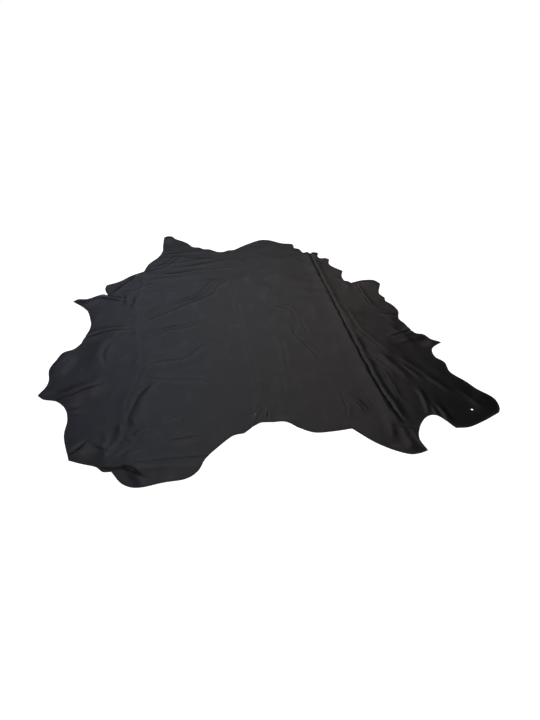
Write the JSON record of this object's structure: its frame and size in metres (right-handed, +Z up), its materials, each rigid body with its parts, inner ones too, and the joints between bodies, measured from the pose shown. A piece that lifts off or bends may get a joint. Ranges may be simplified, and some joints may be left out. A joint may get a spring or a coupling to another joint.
{
  "type": "leather hide",
  "caption": "Whole leather hide lying open, grain side up, with its shanks, scalloped shoulder, packing folds and edge ripples.",
  "frame": {"origin": "middle of the hide's outline, on the surface that it lies on", "axes": "+Y along the backbone towards the neck, +X towards the right flank, +Z up"},
  "size_m": [2.262, 2.7931, 0.0154],
  "materials": {
    "leather": "fine-grained finished leather with a soft satin sheen, near black"
  },
  "bodies": {
    "root": {"hide": "leather"}
  },
  "joints": []
}
